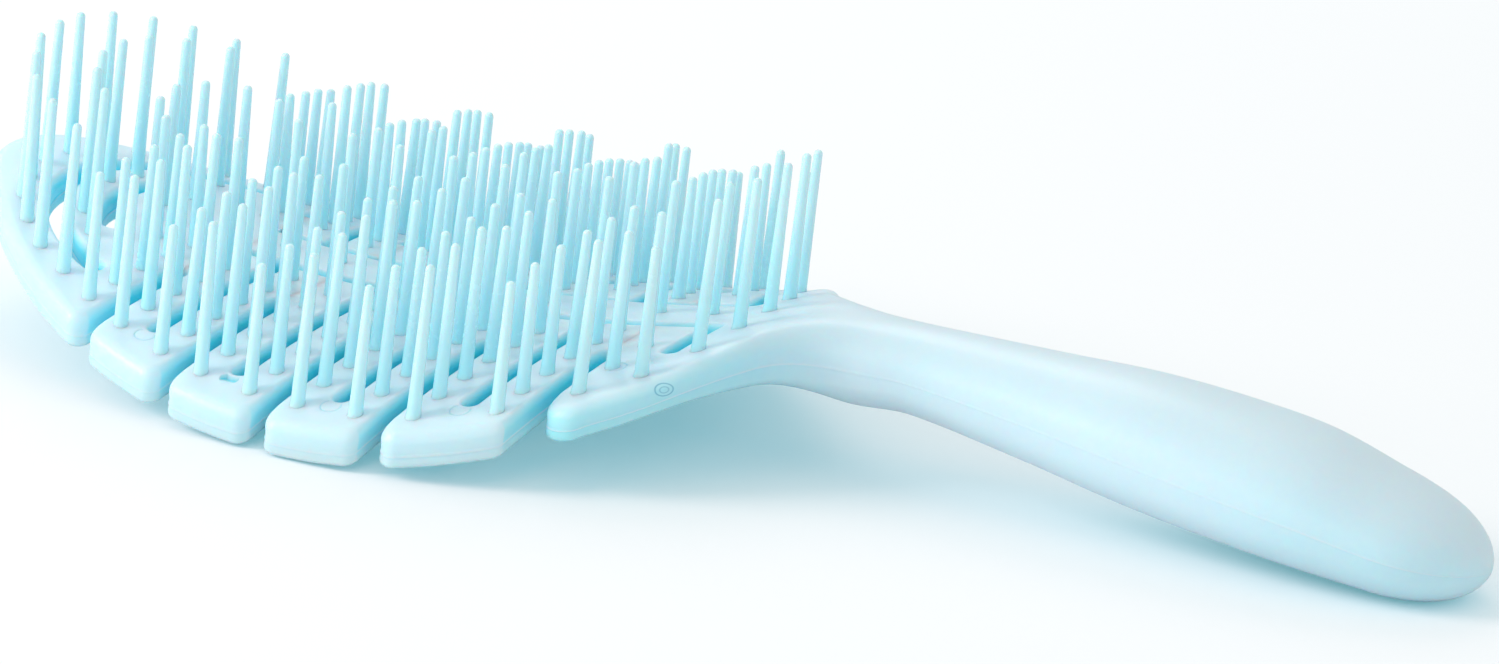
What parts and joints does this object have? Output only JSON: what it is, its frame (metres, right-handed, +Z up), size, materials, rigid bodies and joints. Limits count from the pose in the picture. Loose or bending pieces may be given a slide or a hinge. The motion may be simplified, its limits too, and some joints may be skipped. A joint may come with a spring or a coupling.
{
  "type": "detangling hair brush",
  "caption": "Leaf-shaped vented detangling brush: slim round-ended pins on flexible slotted ribs either side of a spine, with a smooth oval handle.",
  "frame": {"origin": "on the table surface, below the middle of the brush's length and width", "axes": "+X from the leaf tip towards the end of the grip, +Y to the left side, +Z up along the pins"},
  "size_m": [0.212, 0.096, 0.0393],
  "materials": {
    "handle_plastic": "satin moulded plastic, pale aqua, fine matt texture",
    "head_plastic": "satin moulded plastic, pale aqua, rounded edges and deeper blue in the slots",
    "pin_plastic": "smooth moulded plastic, slightly translucent pale aqua"
  },
  "bodies": {
    "root": {"handle": "handle_plastic", "spine": "head_plastic", "spine_pins": "pin_plastic", "neck_pins": "pin_plastic", "left_wing_pins": "pin_plastic", "right_wing_pins": "pin_plastic"},
    "leaf_tip": {"leaf_tip": "head_plastic", "left_rim_pins": "pin_plastic", "right_rim_pins": "pin_plastic", "left_tip_row_pins": "pin_plastic", "right_tip_row_pins": "pin_plastic", "strip_pins": "pin_plastic", "tongue_pins": "pin_plastic"},
    "left_rib_1": {"left_rib_1": "head_plastic", "left_rib_1_long_pins": "pin_plastic", "left_rib_1_short_pins": "pin_plastic"},
    "left_rib_2": {"left_rib_2": "head_plastic", "left_rib_2_long_pins": "pin_plastic", "left_rib_2_short_pins": "pin_plastic"},
    "left_rib_3": {"left_rib_3": "head_plastic", "left_rib_3_long_pins": "pin_plastic", "left_rib_3_short_pins": "pin_plastic"},
    "left_rib_4": {"left_rib_4": "head_plastic", "left_rib_4_long_pins": "pin_plastic", "left_rib_4_short_pins": "pin_plastic"},
    "right_rib_1": {"right_rib_1": "head_plastic", "right_rib_1_long_pins": "pin_plastic", "right_rib_1_short_pins": "pin_plastic"},
    "right_rib_2": {"right_rib_2": "head_plastic", "right_rib_2_long_pins": "pin_plastic", "right_rib_2_short_pins": "pin_plastic"},
    "right_rib_3": {"right_rib_3": "head_plastic", "right_rib_3_long_pins": "pin_plastic", "right_rib_3_short_pins": "pin_plastic"},
    "right_rib_4": {"right_rib_4": "head_plastic", "right_rib_4_long_pins": "pin_plastic", "right_rib_4_short_pins": "pin_plastic"}
  },
  "joints": [
    {"name": "left_rib_1_flex", "type": "hinge", "parent": "root", "child": "left_rib_1", "pos_m": [-0.01367, 0.00585, 0.01112], "axis": [-1, 0, 0], "range_deg": [-4, 8], "stiffness_Nm_per_rad": 1},
    {"name": "left_rib_2_flex", "type": "hinge", "parent": "root", "child": "left_rib_2", "pos_m": [-0.02952, 0.00585, 0.00964], "axis": [-1, 0, 0], "range_deg": [-4, 8], "stiffness_Nm_per_rad": 1},
    {"name": "left_rib_3_flex", "type": "hinge", "parent": "root", "child": "left_rib_3", "pos_m": [-0.04472, 0.00585, 0.00923], "axis": [-1, 0, 0], "range_deg": [-4, 8], "stiffness_Nm_per_rad": 1},
    {"name": "left_rib_4_flex", "type": "hinge", "parent": "root", "child": "left_rib_4", "pos_m": [-0.05992, 0.00585, 0.00981], "axis": [-1, 0, 0], "range_deg": [-4, 8], "stiffness_Nm_per_rad": 1},
    {"name": "right_rib_1_flex", "type": "hinge", "parent": "root", "child": "right_rib_1", "pos_m": [-0.01367, -0.00585, 0.01112], "axis": [1, 0, 0], "range_deg": [-4, 8], "stiffness_Nm_per_rad": 1},
    {"name": "right_rib_2_flex", "type": "hinge", "parent": "root", "child": "right_rib_2", "pos_m": [-0.02952, -0.00585, 0.00964], "axis": [1, 0, 0], "range_deg": [-4, 8], "stiffness_Nm_per_rad": 1},
    {"name": "right_rib_3_flex", "type": "hinge", "parent": "root", "child": "right_rib_3", "pos_m": [-0.04472, -0.00585, 0.00923], "axis": [1, 0, 0], "range_deg": [-4, 8], "stiffness_Nm_per_rad": 1},
    {"name": "right_rib_4_flex", "type": "hinge", "parent": "root", "child": "right_rib_4", "pos_m": [-0.05992, -0.00585, 0.00981], "axis": [1, 0, 0], "range_deg": [-4, 8], "stiffness_Nm_per_rad": 1},
    {"name": "leaf_tip_flex", "type": "hinge", "parent": "root", "child": "leaf_tip", "pos_m": [-0.0667, 0, 0.01155], "axis": [0, -1, 0], "range_deg": [-3, 3], "stiffness_Nm_per_rad": 3}
  ]
}
